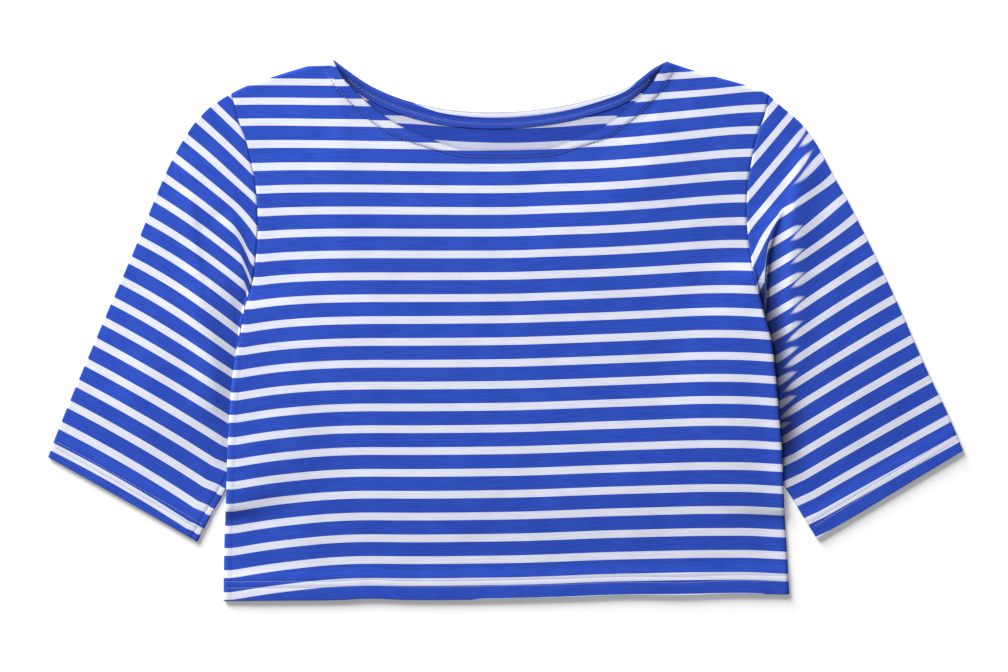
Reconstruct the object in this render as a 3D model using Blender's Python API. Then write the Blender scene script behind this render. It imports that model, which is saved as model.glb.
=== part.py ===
"""A striped cotton jersey crop top with elbow sleeves, lying flat with its front up.

The tables are in millimetres: X runs across the garment, Y from hem to shoulders and
Z up from the surface it lies on. Left and right are as seen from above.
"""
from collections import namedtuple
from math import cos, hypot, pi, radians, sin

import bmesh
import bpy

MM = 0.001

# Cloth and how it lies
CLOTH = 1.0            # wall of the jersey
TURNED = 1.7           # wall where an edge is turned in and stitched down
LAYER_GAP = 0.6        # least air between the two layers of the body or of a sleeve
BODY_AIR = 2.2         # more air under the middle of the front
BODY_AIR_RUN = 90.0    # run from the edges over which that air is gained
SLEEVE_AIR = 1.6       # more air under the middle of a sleeve's upper layer
SLEEVE_AIR_RUN = 60.0  # run over which it is gained
CUFF_FLAT = 18.0       # the sleeve stays flat this far from its cuff
AIR_ACROSS = 0.8       # the air fills this share of the sleeve's width, from its outer edge
SEAM_GAP = 0.5         # plan gap between a sleeve and the body along the armhole
TAPE_GAP = 0.3         # gap under the neck tape
HEM_DEPTH = 16.0       # depth of the turned-up hem and cuffs
TURN_FADE = 4.0        # run over which the doubled edge thins to one layer
NECK_TURN = 9.0        # depth of the turned neck edge, measured down the panel
EDGE_ROUND = 2.5       # run over which a panel's edge is rounded off
EDGE_DROP = 0.4        # height lost at that rounded edge

# The body lies on the tucked underarm of each sleeve
TUCK_LIFT = 3.3        # how far the body is raised there
TUCK_MARGIN = 9.0      # full lift reaches this far past the sleeve's edge
TUCK_RAMP = 24.0       # and falls to nothing over this run

# How finely each piece is divided
SHOULDER_CELLS = 4
NECK_CELLS = 14
SIDE_CELLS = 7
ARMHOLE_CELLS = 9
NECK_TURN_ROWS = 3     # rows of a body panel inside its turned neck edge
SLEEVE_ACROSS = 10
SLEEVE_ALONG = 16
NECK_FILL = [0.45, 0.85, 1.0]     # rows the back has beyond the front's neck edge, as shares of the way
CURVE_STEPS = 16       # steps used for measuring each span of a curve

At = namedtuple("At", "x y")

# Points where pieces meet
LEFT_TIP, RIGHT_TIP = At(-238.5, 205.0), At(230.0, 204.5)
LEFT_NECK, RIGHT_NECK = At(-151.0, 236.0), At(141.0, 234.0)
LEFT_ARMPIT, RIGHT_ARMPIT = At(-234.0, -16.0), At(226.5, 10.0)
LEFT_HEM, RIGHT_HEM = At(-246.0, -236.0), At(247.5, -230.5)
LEFT_CUFF_OUT, RIGHT_CUFF_OUT = At(-399.0, -110.5), At(399.0, -105.0)
LEFT_CUFF_IN, RIGHT_CUFF_IN = At(-268.5, -184.5), At(271.5, -182.0)

# Outlines of the body, each a smooth curve through its points
HEM_LINE = [LEFT_HEM, At(-120, -234.5), At(-4, -234.5), At(110, -231), RIGHT_HEM]
FRONT_NECK_LINE = [LEFT_NECK, At(-143, 220), At(-119, 195), At(-88, 175), At(-34, 157.5),
                   At(41, 158), At(97, 185), At(129, 216.5), RIGHT_NECK]
BACK_NECK_LINE = [LEFT_NECK, At(-117, 212.5), At(-73, 196.5), At(-23, 190.2), At(26, 192.2),
                  At(75, 201), At(114, 215.5), RIGHT_NECK]

Side = namedtuple("Side", "name shoulder edge armhole outer cuff underarm tuck folds")
Tuck = namedtuple("Tuck", "y width")                       # sleeve under the body's edge
Fold = namedtuple("Fold", "x0 y0 x1 y1 height spread")     # ridge in a sleeve's upper layer

LEFT = Side(
    name="left",
    shoulder=[LEFT_TIP, At(-222, 213), At(-187.5, 224.5), LEFT_NECK],
    edge=[LEFT_HEM, At(-243.2, -145), At(-240.5, -78), LEFT_ARMPIT],
    armhole=[LEFT_ARMPIT, At(-226, 24), At(-218, 63), At(-216, 96), At(-221.5, 144),
             At(-232.5, 182), LEFT_TIP],
    outer=[LEFT_TIP, At(-262, 191), At(-277, 173), At(-296, 138), At(-324, 70), At(-354, 0),
           LEFT_CUFF_OUT],
    cuff=[LEFT_CUFF_OUT, LEFT_CUFF_IN],
    underarm=[At(-235.2, -17), At(-239.4, -40), At(-226, -60), At(-219.5, -84),
              At(-227, -112), At(-243.5, -139), LEFT_CUFF_IN],
    tuck=[Tuck(-168, -34), Tuck(-139, 6), Tuck(-112, 18), Tuck(-86, 24), Tuck(-64, 22),
          Tuck(-43, 14), Tuck(-12, 4), Tuck(16, -16), Tuck(44, -34)],
    folds=[Fold(-242, 96, -229, 30, 2.2, 8.0), Fold(-262, 150, -250, -20, 1.2, 16.0)],
)

RIGHT = Side(
    name="right",
    shoulder=[RIGHT_TIP, At(212.5, 212.5), At(169, 224.5), RIGHT_NECK],
    edge=[RIGHT_HEM, At(242.3, -145), At(240.5, -100), At(235.3, -42), RIGHT_ARMPIT],
    armhole=[RIGHT_ARMPIT, At(215.3, 55), At(210.5, 95), At(212, 132), At(219, 167), RIGHT_TIP],
    outer=[RIGHT_TIP, At(241, 192), At(263, 173), At(283, 139), At(302, 104), At(336, 35),
           At(367.5, -35), RIGHT_CUFF_OUT],
    cuff=[RIGHT_CUFF_OUT, RIGHT_CUFF_IN],
    underarm=[At(227.7, 9), At(234.4, -16), At(221, -40), At(214, -74), At(223, -110),
              At(245, -139), RIGHT_CUFF_IN],
    tuck=[Tuck(-168, -34), Tuck(-139, 6), Tuck(-110, 20), Tuck(-76, 26), Tuck(-44, 22),
          Tuck(-18, 14), Tuck(14, 4), Tuck(42, -16), Tuck(70, -34)],
    folds=[Fold(247, 146, 228, 40, 2.4, 9.0), Fold(257, 168, 248, -28, 3.0, 14.0)],
)

# Neck tape, offsets inward from the back neck edge at a share of that edge's length
Tape = namedtuple("Tape", "share top low")
TAPE_ROWS = [Tape(0.035, 1.2, 3.6), Tape(0.09, 1.2, 8.6), Tape(0.22, 2.6, 12.0), Tape(0.5, 4.6, 14.0),
             Tape(0.76, 4.2, 12.6), Tape(0.9, 1.4, 8.6), Tape(0.96, 1.2, 3.6)]
TAPE_CELLS = 28
TAPE_BACKSTEP = 0.01   # share of the edge's length looked back over for its direction

JERSEY_BLUE = (0.035, 0.085, 0.52, 1.0)
TAPE_BLUE = (0.032, 0.088, 0.50, 1.0)
CLOTH_ROUGHNESS = 0.85


def clear_scene():
    for item in list(bpy.data.objects):
        bpy.data.objects.remove(item, do_unlink=True)


def mix(a, b, share):
    return a + (b - a) * share


def smooth(share):
    share = min(max(share, 0.0), 1.0)
    return share * share * (3.0 - 2.0 * share)


def look_up(rows, key, value, at):
    """Value of a column at a place in a table whose key column rises."""
    for low, high in zip(rows, rows[1:]):
        if at <= getattr(high, key):
            span = getattr(high, key) - getattr(low, key)
            share = (at - getattr(low, key)) / span
            return mix(getattr(low, value), getattr(high, value), min(max(share, 0.0), 1.0))
    return getattr(rows[-1], value)


def spline_point(points, span, share):
    """Catmull-Rom curve, with its end points doubled."""
    p0 = points[max(span - 1, 0)]
    p1, p2 = points[span], points[span + 1]
    p3 = points[min(span + 2, len(points) - 1)]

    def blend(a, b, c, d):
        return 0.5 * (2 * b + (c - a) * share + (2 * a - 5 * b + 4 * c - d) * share ** 2
                      + (3 * b - a - 3 * c + d) * share ** 3)

    return At(blend(p0.x, p1.x, p2.x, p3.x), blend(p0.y, p1.y, p2.y, p3.y))


def along(points, shares):
    """Points of the smooth curve at the given shares of its length."""
    dense = [points[0]]
    for span in range(len(points) - 1):
        dense += [spline_point(points, span, step / CURVE_STEPS) for step in range(1, CURVE_STEPS + 1)]
    lengths = [0.0]
    for a, b in zip(dense, dense[1:]):
        lengths.append(lengths[-1] + hypot(b.x - a.x, b.y - a.y))
    result = []
    for share in shares:
        target = share * lengths[-1]
        index = next(i for i in range(1, len(lengths)) if lengths[i] >= target - 1e-9)
        part = (target - lengths[index - 1]) / (lengths[index] - lengths[index - 1])
        a, b = dense[index - 1], dense[index]
        result.append(At(mix(a.x, b.x, part), mix(a.y, b.y, part)))
    return result


def length_of(points):
    return sum(hypot(b.x - a.x, b.y - a.y) for a, b in zip(points, points[1:]))


def even(cells):
    return [i / cells for i in range(cells + 1)]


def coons(low, high, first, last, s, t, i, j):
    """Point (i, j) of the patch between four boundary curves."""
    def one(axis):
        edges = (mix(getattr(low[i], axis), getattr(high[i], axis), t)
                 + mix(getattr(first[j], axis), getattr(last[j], axis), s))
        corners = mix(mix(getattr(low[0], axis), getattr(low[-1], axis), s),
                      mix(getattr(high[0], axis), getattr(high[-1], axis), s), t)
        return edges - corners
    return At(one("x"), one("y"))


def make_object(name, points, faces, colour):
    """One closed piece, in metres, with its own material."""
    mesh = bpy.data.meshes.new(name)
    mesh.from_pydata([(x * MM, y * MM, z * MM) for x, y, z in points], [], faces)
    work = bmesh.new()
    work.from_mesh(mesh)
    bmesh.ops.remove_doubles(work, verts=work.verts, dist=0.00001)
    bmesh.ops.dissolve_degenerate(work, edges=work.edges, dist=0.00001)
    bmesh.ops.recalc_face_normals(work, faces=work.faces)
    work.to_mesh(mesh)
    work.free()
    mesh.shade_smooth()
    mesh.set_sharp_from_angle(angle=radians(40))
    item = bpy.data.objects.new(name, mesh)
    bpy.context.collection.objects.link(item)
    material = bpy.data.materials.new(name)
    material.use_nodes = True
    shader = material.node_tree.nodes["Principled BSDF"]
    shader.inputs["Base Color"].default_value = colour
    shader.inputs["Roughness"].default_value = CLOTH_ROUGHNESS
    shader.inputs["Metallic"].default_value = 0.0
    mesh.materials.append(material)
    return item


def slab(name, columns, under, over, colour):
    """A wall over a grid of plan points, from its under to its over heights."""
    rows = len(columns[0])
    points, faces = [], []
    for heights in (under, over):
        for column, column_heights in zip(columns, heights):
            points += [(p.x, p.y, z) for p, z in zip(column, column_heights)]
    top = len(columns) * rows

    def at(i, j, layer):
        return layer + i * rows + j

    for i in range(len(columns) - 1):
        for j in range(rows - 1):
            a, b, c, d = at(i, j, 0), at(i + 1, j, 0), at(i + 1, j + 1, 0), at(i, j + 1, 0)
            faces += [(a, d, c), (a, c, b)]
            faces += [(a + top, b + top, c + top), (a + top, c + top, d + top)]
    rim = [(i, 0) for i in range(len(columns))]
    rim += [(len(columns) - 1, j) for j in range(1, rows)]
    rim += [(i, rows - 1) for i in range(len(columns) - 2, -1, -1)]
    rim += [(0, j) for j in range(rows - 2, 0, -1)]
    for here, there in zip(rim, rim[1:] + rim[:1]):
        a, b = at(*here, 0), at(*there, 0)
        faces.append((a, b, b + top, a + top))
    return make_object(name, points, faces, colour)


def armhole_points(side, shares):
    return along(side.armhole, shares)


def body_rows():
    """Shares of the way up the panel, hem to shoulder, and the sides' points there."""
    sides = {}
    for side in (LEFT, RIGHT):
        length = length_of(side.edge)
        lower = [0.0, EDGE_ROUND / length, HEM_DEPTH / length, (HEM_DEPTH + TURN_FADE) / length]
        lower += [mix(lower[3], 1.0, i / SIDE_CELLS) for i in range(1, SIDE_CELLS + 1)]
        upper = even(ARMHOLE_CELLS)[1:-1]
        upper += [1 - depth / length_of(side.armhole)
                  for depth in (NECK_TURN + TURN_FADE, NECK_TURN, EDGE_ROUND, 0.0)]
        sides[side.name] = along(side.edge, lower) + armhole_points(side, upper)
    left = sides["left"]
    heights = [(p.y - left[0].y) / (left[-1].y - left[0].y) for p in left]
    return heights, sides["left"], sides["right"]


def body_columns():
    """Top edge points from left tip to right tip, and their shares across."""
    shoulder = [0.0, EDGE_ROUND / length_of(LEFT.shoulder)] + even(SHOULDER_CELLS)[1:]
    left = along(LEFT.shoulder, shoulder)
    neck = along(FRONT_NECK_LINE, even(NECK_CELLS))
    right = along(RIGHT.shoulder, shoulder)
    top = left + neck[1:-1] + right[::-1]
    width = RIGHT_TIP.x - LEFT_TIP.x
    return top, [(p.x - LEFT_TIP.x) / width for p in top], len(left) - 1


def point_at_x(points, x):
    dense = along(points, even(CURVE_STEPS * len(points)))
    return next(At(x, mix(a.y, b.y, (x - a.x) / (b.x - a.x)))
                for a, b in zip(dense, dense[1:]) if x <= b.x + 1e-6)


def tuck_lift(side, inward, y):
    """Height of the body over the floor, at a distance in from its side edge."""
    reach = look_up(side.tuck, "y", "width", y) + TUCK_MARGIN + TUCK_RAMP - inward
    return TUCK_LIFT * smooth(reach / TUCK_RAMP)


def body_grid():
    """Plan points of the body's columns, and each point's lift over the floor."""
    top, across, neck_start = body_columns()
    up, left, right = body_rows()
    hem = [point_at_x(HEM_LINE, mix(LEFT_HEM.x, RIGHT_HEM.x, s)) for s in across]
    columns, lifts = [], []
    for i, s in enumerate(across):
        column = [coons(hem, top, left, right, s, t, i, j) for j, t in enumerate(up)]
        columns.append(column)
        lifts.append([max(tuck_lift(LEFT, p.x - left[j].x, p.y), tuck_lift(RIGHT, right[j].x - p.x, p.y))
                      for j, p in enumerate(column)])
    return columns, lifts, neck_start


def wall_of(i, j, columns, neck_start):
    """Wall of a body panel at a grid point: doubled in the hem and the neck's turned edge."""
    column = columns[i]
    from_hem = hypot(column[j].x - column[0].x, column[j].y - column[0].y)
    doubled = 1.0 - smooth((from_hem - HEM_DEPTH) / TURN_FADE)
    if neck_start < i < neck_start + NECK_CELLS:
        from_neck = hypot(column[j].x - column[-1].x, column[j].y - column[-1].y)
        doubled = max(doubled, 1.0 - smooth((from_neck - NECK_TURN) / TURN_FADE))
    return mix(CLOTH, TURNED, doubled)


def on_rim(i, j, columns):
    return i in (0, len(columns) - 1) or j in (0, len(columns[0]) - 1)


def air_under_front(i, j, columns):
    """The front rises a little between its edges, and lies flat along them."""
    here, column = columns[i][j], columns[i]
    from_sides = min(here.x - columns[0][j].x, columns[-1][j].x - here.x)
    from_ends = min(here.y - column[0].y, column[-1].y - here.y)
    return BODY_AIR * smooth(from_sides / BODY_AIR_RUN) * smooth(from_ends / BODY_AIR_RUN)


def make_body():
    """Back panel on the floor, front panel over it, on one grid; the back also fills its own neck."""
    columns, lifts, neck_start = body_grid()
    count, rows = len(columns), len(columns[0])
    grid = [(i, j) for i in range(count) for j in range(rows)]
    wall = {at: wall_of(*at, columns, neck_start) for at in grid}
    drop = {at: EDGE_DROP if on_rim(*at, columns) else 0.0 for at in grid}

    def table(height):
        return [[height(i, j) for j in range(rows)] for i in range(count)]

    def back_under(i, j):
        return lifts[i][j] + drop[i, j]

    def back_over(i, j):
        return lifts[i][j] + wall[i, j]

    def front_under(i, j):
        return back_over(i, j) + LAYER_GAP + air_under_front(i, j, columns)

    def front_over(i, j):
        return front_under(i, j) + wall[i, j] - drop[i, j]

    slab("front_panel", columns, table(front_under), table(front_over), JERSEY_BLUE)
    back_neck = along(BACK_NECK_LINE, even(NECK_CELLS))
    extra = len(NECK_FILL)
    back_columns, under, over = [], [], []
    for i, column in enumerate(columns):
        column_under = [back_under(i, j) for j in range(rows)]
        column_over = [back_over(i, j) for j in range(rows)]
        if neck_start < i < neck_start + NECK_CELLS:
            goal = back_neck[i - neck_start]
            under.append(column_under[:-1] + [0.0] * extra + [EDGE_DROP])
            over.append(column_over[:-NECK_TURN_ROWS] + [CLOTH] * (NECK_TURN_ROWS + extra))
        else:
            goal = column[-1]
            under.append(column_under + [column_under[-1]] * extra)
            over.append(column_over + [column_over[-1]] * extra)
        back_columns.append(column + [At(mix(column[-1].x, goal.x, s), mix(column[-1].y, goal.y, s))
                                      for s in NECK_FILL])
    slab("back_panel", back_columns, under, over, JERSEY_BLUE)


def fold_height(side, point):
    """Height added by the sleeve's ridges at a plan point."""
    total = 0.0
    for fold in side.folds:
        dx, dy = fold.x1 - fold.x0, fold.y1 - fold.y0
        length = hypot(dx, dy)
        share = ((point.x - fold.x0) * dx + (point.y - fold.y0) * dy) / length ** 2
        aside = abs((point.x - fold.x0) * dy - (point.y - fold.y0) * dx) / length
        ends = smooth(min(share, 1.0 - share) * length / fold.spread)
        total += fold.height * ends * smooth(1.0 - aside / fold.spread)
    return total


def sleeve_ring(side, plan, from_armhole, from_cuff):
    """Outer and inner ring of the flattened sleeve at one section."""
    wall = mix(CLOTH, TURNED, 1.0 - smooth((from_cuff - HEM_DEPTH) / TURN_FADE))
    height = 2 * wall + LAYER_GAP
    radius = height / 2
    first, last = plan[0], plan[-1]
    width = hypot(last.x - first.x, last.y - first.y)
    ux, uy = (last.x - first.x) / width, (last.y - first.y) / width
    flat = list(plan)
    flat[0] = At(first.x + ux * radius, first.y + uy * radius)
    flat[-1] = At(last.x - ux * radius, last.y - uy * radius)
    from_ends = smooth((from_cuff - CUFF_FLAT) / SLEEVE_AIR_RUN) * smooth(from_armhole / SLEEVE_AIR_RUN)
    tops = [height + SLEEVE_AIR * from_ends * sin(pi * min(u / AIR_ACROSS, 1.0)) ** 2 + fold_height(side, p)
            for u, p in zip(even(SLEEVE_ACROSS), flat)]
    tops[0] = tops[-1] = height

    def turn(center, sign, reach):
        return [(center.x + sign * ux * reach * cos(a), center.y + sign * uy * reach * cos(a),
                 radius + reach * sin(a)) for a in (radians(45), 0.0, radians(-45))]

    rings = []
    for inset in (0.0, wall):
        ring = [(p.x, p.y, z - inset) for p, z in zip(flat, tops)]
        ring += turn(flat[-1], 1.0, radius - inset)
        ring += [(p.x, p.y, inset) for p in flat[::-1]]
        ring += turn(flat[0], -1.0, radius - inset)[::-1]
        rings.append(ring)
    return rings


def make_sleeve(side):
    """A flattened tube from the armhole to the cuff, with its underarm tucked under the body."""
    outward = -1.0 if side.name == "left" else 1.0
    across = even(SLEEVE_ACROSS)
    outer_length = length_of(side.outer)
    cuff_shares = [1 - (HEM_DEPTH + TURN_FADE) / outer_length, 1 - HEM_DEPTH / outer_length, 1.0]
    steps = [cuff_shares[0] * share for share in even(SLEEVE_ALONG)[:-1]] + cuff_shares
    seam = [At(p.x + outward * SEAM_GAP, p.y) for p in armhole_points(side, across)][::-1]
    seam[-1] = side.underarm[0]
    outer = along([seam[0]] + side.outer[1:], steps)
    under = along(side.underarm, steps)
    cuff = along(side.cuff, across)
    points, sections = [], []
    for j, step in enumerate(steps):
        plan = [coons(seam, cuff, outer, under, u, step, i, j) for i, u in enumerate(across)]
        rings = sleeve_ring(side, plan, outer_length * step, outer_length * (1.0 - step))
        sections.append([list(range(len(points) + k * len(rings[0]), len(points) + (k + 1) * len(rings[0])))
                         for k in range(2)])
        points += rings[0] + rings[1]
    faces = []
    for here, there in zip(sections, sections[1:]):
        for skin in range(2):
            faces += band(here[skin], there[skin])
    faces += band(sections[0][0], sections[0][1]) + band(sections[-1][0], sections[-1][1])
    make_object("sleeve_" + side.name, points, faces, JERSEY_BLUE)


def band(one, other):
    """Faces that join two rings of the same count."""
    pairs = list(zip(one, other))
    return [(a, b, d, c) for (a, c), (b, d) in zip(pairs, pairs[1:] + pairs[:1])]


def make_tape():
    """A strip on the inside of the back neck, made from the back neck edge and moved in and up."""
    shares = [mix(TAPE_ROWS[0].share, TAPE_ROWS[-1].share, s) for s in even(TAPE_CELLS)]
    edge = along(BACK_NECK_LINE, shares)
    before = along(BACK_NECK_LINE, [share - TAPE_BACKSTEP for share in shares])
    columns = []
    for share, p, q in zip(shares, edge, before):
        step = hypot(p.x - q.x, p.y - q.y)
        nx, ny = (p.y - q.y) / step, -(p.x - q.x) / step
        offsets = [look_up(TAPE_ROWS, "share", name, share) for name in ("low", "top")]
        columns.append([At(p.x + nx * offset, p.y + ny * offset) for offset in offsets])
    under = [[CLOTH + TAPE_GAP] * 2 for _ in columns]
    over = [[CLOTH + TAPE_GAP + CLOTH] * 2 for _ in columns]
    slab("neck_tape", columns, under, over, TAPE_BLUE)


clear_scene()
make_body()
make_sleeve(LEFT)
make_sleeve(RIGHT)
make_tape()
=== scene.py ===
from collections import namedtuple
from math import cos, pi, radians, sin

import bpy
import numpy as np
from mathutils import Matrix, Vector
from mathutils.kdtree import KDTree


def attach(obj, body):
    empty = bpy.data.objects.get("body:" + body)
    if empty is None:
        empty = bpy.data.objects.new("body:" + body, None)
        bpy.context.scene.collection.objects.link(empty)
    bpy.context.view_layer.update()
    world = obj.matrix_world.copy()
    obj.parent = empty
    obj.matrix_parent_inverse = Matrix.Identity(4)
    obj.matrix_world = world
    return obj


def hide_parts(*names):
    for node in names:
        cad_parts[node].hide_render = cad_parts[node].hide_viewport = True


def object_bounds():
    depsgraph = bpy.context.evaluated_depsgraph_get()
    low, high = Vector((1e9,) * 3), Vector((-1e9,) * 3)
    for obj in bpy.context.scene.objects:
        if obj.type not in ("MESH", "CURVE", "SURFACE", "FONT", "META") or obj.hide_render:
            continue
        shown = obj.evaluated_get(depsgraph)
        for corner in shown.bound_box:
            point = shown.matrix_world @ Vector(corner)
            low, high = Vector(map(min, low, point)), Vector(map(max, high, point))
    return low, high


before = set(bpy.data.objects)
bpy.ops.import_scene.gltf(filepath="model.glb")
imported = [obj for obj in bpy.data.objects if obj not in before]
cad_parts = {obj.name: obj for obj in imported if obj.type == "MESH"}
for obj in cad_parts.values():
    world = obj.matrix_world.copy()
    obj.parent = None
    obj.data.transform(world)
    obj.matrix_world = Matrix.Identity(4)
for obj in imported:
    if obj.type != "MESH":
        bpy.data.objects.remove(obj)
cad_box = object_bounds()


# ---- The table, the light and the camera ---------------------------------------------------
# The top lies on a smooth white sheet of board, lit by one wide soft light over its
# shoulders and by the pale room around it, and is looked at from straight above.

MM = 0.001
BOARD_SIZE = 6.0
BOARD_DROP = 0.15 * MM           # keeps the board just clear of the cloth
VIEW_WIDTH = 877.0 * MM          # width of the view at the cloth
VIEW_SHIFT = (-1.3 * MM, -5.2 * MM)
LENS, SENSOR = 100.0, 36.0
KEY_DISTANCE, KEY_LEFT, KEY_HEIGHT = 5.2, radians(34), radians(22)
KEY_SIZE = (3.1, 3.4)
KEY_POWER = 762.0
ROOM_WHITE, ROOM_STRENGTH = (1.0, 1.0, 1.0, 1.0), 0.22
BOARD_WHITE, BOARD_GLOW = 0.82, 0.20     # the glow keeps the board evenly white to its corners
BOARD_ROUGHNESS, BOARD_GLOSS = 0.9, 0.1

low_corner, high_corner = (Vector(corner) for corner in cad_box)
middle = (low_corner + high_corner) / 2

board_mesh = bpy.data.meshes.new("board")
half = BOARD_SIZE / 2
board_z = low_corner.z - BOARD_DROP
board_corners = ((-half, -half), (half, -half), (half, half), (-half, half))
board_mesh.from_pydata([(x, y, board_z) for x, y in board_corners], [], [(0, 1, 2, 3)])
board = bpy.data.objects.new("board", board_mesh)
bpy.context.collection.objects.link(board)
board_paint = bpy.data.materials.new("white board")
board_paint.use_nodes = True
board_shader = board_paint.node_tree.nodes["Principled BSDF"]
board_shader.inputs["Base Color"].default_value = (BOARD_WHITE, BOARD_WHITE, BOARD_WHITE, 1.0)
board_shader.inputs["Emission Color"].default_value = (1.0, 1.0, 1.0, 1.0)
board_shader.inputs["Emission Strength"].default_value = BOARD_GLOW
board_shader.inputs["Roughness"].default_value = BOARD_ROUGHNESS
board_shader.inputs["Specular IOR Level"].default_value = BOARD_GLOSS
board_mesh.materials.append(board_paint)

room = bpy.data.worlds.new("pale room")
room.use_nodes = True
room.node_tree.nodes["Background"].inputs["Color"].default_value = ROOM_WHITE
room.node_tree.nodes["Background"].inputs["Strength"].default_value = ROOM_STRENGTH
bpy.context.scene.world = room
bpy.context.scene.view_settings.view_transform = "Standard"

key_lamp = bpy.data.lights.new("key", "AREA")
key_lamp.shape = "RECTANGLE"
key_lamp.size, key_lamp.size_y = KEY_SIZE
key_lamp.energy = KEY_POWER
key = bpy.data.objects.new("key", key_lamp)
key_way = Vector((-sin(KEY_LEFT) * cos(KEY_HEIGHT), cos(KEY_LEFT) * cos(KEY_HEIGHT), sin(KEY_HEIGHT)))
key.location = middle + key_way * KEY_DISTANCE
key.rotation_euler = key_way.to_track_quat("Z", "Y").to_euler()
bpy.context.collection.objects.link(key)

lens = bpy.data.cameras.new("camera")
lens.lens, lens.sensor_width = LENS, SENSOR
camera = bpy.data.objects.new("camera", lens)
camera.location = (middle.x + VIEW_SHIFT[0], middle.y + VIEW_SHIFT[1],
                   high_corner.z + VIEW_WIDTH * LENS / SENSOR)
bpy.context.collection.objects.link(camera)
bpy.context.scene.camera = camera


# ---- Front panel -------------------------------------------------------------------------------
# One piece of cotton jersey knitted in narrow white and wide blue stripes. Its boat neck is
# turned in and topstitched, its hem is turned up and sewn in two rows, and it is seamed to
# the back at the sides and shoulders and to the sleeves at the armholes.

JERSEY = 0.9                     # thickness of the cloth; these sizes are in millimetres
PLIES_APART = 0.8                # air between the two layers
BODY_AIR, BODY_AIR_RUN = 2.0, 95.0          # more air towards the middle of the body
HEM_AIR, HEM_AIR_RUN = 0.75, 30.0           # the hem stands a little open
EDGE_ROLL = 3.0                  # run over which a side edge turns down to meet the other panel
OUTER_MEET, INNER_MEET = 0.45, 0.05         # how near to the middle the two faces end in a seam
FLAT_EDGE = 25.0                 # creases and air fade out this near to an edge
ARMPIT_RUN = 12.0                # run of the change from side seam to armhole seam
SEAM_DITCH, SEAM_DITCH_RUN = 0.6, 1.8       # the cloth dips into the armhole seams
HEM_DEPTH, HEM_PLY, HEM_FADE = 18.0, 0.38, 10.0     # the turned-up ply, and its soft upper end
HEM_ROWS = (11.0, 16.4)          # lines of stitching above the hem edge
STITCH_DIP, STITCH_DIP_RUN = 0.11, 0.8
TUCK_LIFT, TUCK_MARGIN, TUCK_RAMP = 3.2, 9.0, 70.0  # the body's rise over the tucked sleeves
NO_TUCK, TUCK_ONSET = -34.0, 18.0
CREASE_ENDS = 3.2                # creases fade out over a third of their length at each end

# The mesh has cells of this size, and finer steps in from the hem, the top and the shoulders' ends
CELL = 2.5
HEM_STEPS = [0.0, 0.5, 1.2, 2.4, 4.4, 6.6, 8.8, 10.2, 11.0, 11.8, 13.4, 15.0, 15.7, 16.4, 17.1, 18.2,
             19.4, 21.0]
TOP_STEPS = [0.0, 0.5, 1.1, 1.9, 3.0, 4.2, 5.4, 6.6, 7.8, 9.0, 10.2, 11.4, 12.8, 14.6, 17.0]
SHOULDER_STEPS = [0.0, 0.4, 1.0, 1.8, 3.0, 4.6, 6.6]
SIDE_ROWS = 91

STRIPE_PITCH, WHITE_STRIPE = 18.92, 6.4
FIRST_WHITE = -218.4             # height of the lowest whole white stripe, at the middle
# The next white stripe comes just over the hem here: place and how far
HEM_PEEK = [(-138, 0), (-126, 1.1), (-112, 1.1), (-98, 0), (-30, 0), (-18, 1), (222, 1), (236, 0)]
YOKE_PULL, YOKE_HEIGHT, YOKE_RUN = 1.1, 200.0, 14.0     # stripes pulled up across the shoulders
YOKE_FROM, YOKE_FADE = 90.0, 60.0
DROP_BLEND = ((-11.0, 0.25), (0.0, 0.5), (11.0, 0.25))  # shifts and shares that even out the drops
SIDE_SEAM_IN, SIDE_SEAM_RUN, SIDE_SEAM_DIP = 6.0, 0.8, 0.14     # side seam, in from the left edge

LEFT_TIP, RIGHT_TIP = (-239.0, 206.4), (230.0, 204.8)
LEFT_NECK, RIGHT_NECK = (-151.0, 236.0), (140.5, 234.0)
LEFT_ARMPIT, RIGHT_ARMPIT = (-234.0, -16.0), (226.5, 10.0)
LEFT_HEM, RIGHT_HEM = (-245.8, -235.8), (247.3, -230.0)

HEM_LINE = [LEFT_HEM, (-200, -235.4), (-151, -235.0), (-117, -233.6), (-83, -234.8), (-40, -234.8),
            (-4, -234.0), (49, -232.8), (109, -230.8), (152, -231.2), (197, -229.6), RIGHT_HEM]
LEFT_SHOULDER = [LEFT_TIP, (-222, 214.2), (-187.5, 225.6), LEFT_NECK]
RIGHT_SHOULDER = [RIGHT_TIP, (212.5, 212.5), (169, 224.7), RIGHT_NECK]
LEFT_EDGE = [LEFT_HEM, (-245, -184), (-243.2, -145), (-242.2, -111), (-240.6, -78), (-237.8, -42),
             LEFT_ARMPIT]
RIGHT_EDGE = [RIGHT_HEM, (245, -187), (242.3, -145), (240.5, -100), (235.6, -42), (231.6, -10),
              RIGHT_ARMPIT]
LEFT_ARMHOLE = [LEFT_ARMPIT, (-230, 3.5), (-225.8, 24.4), (-220.5, 43), (-217.9, 63.5), (-216.2, 86),
                (-216.4, 105), (-217.9, 125), (-221.4, 144.5), (-226, 164.5), (-232.6, 182), LEFT_TIP]
RIGHT_ARMHOLE = [RIGHT_ARMPIT, (219.7, 34), (215.3, 55), (212, 77), (210.5, 95), (210.8, 124), (213.6, 142),
                 (216.4, 157.5), (220.5, 173), (225.8, 187), RIGHT_TIP]
FRONT_NECK = [LEFT_NECK, (-142, 219.8), (-137.5, 214.2), (-125.3, 202.4), (-118, 195.3), (-101, 183.1),
              (-88.7, 176), (-66, 166.5), (-55, 162.6), (-43.8, 158.9), (-33.8, 156.9), (-4.8, 156.3),
              (23, 157), (40.7, 159), (58.5, 165.7), (72.6, 171.4), (86.2, 177.2), (96.1, 184.8),
              (111.8, 197), (127.8, 214.2), (133, 222.7), RIGHT_NECK]

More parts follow.
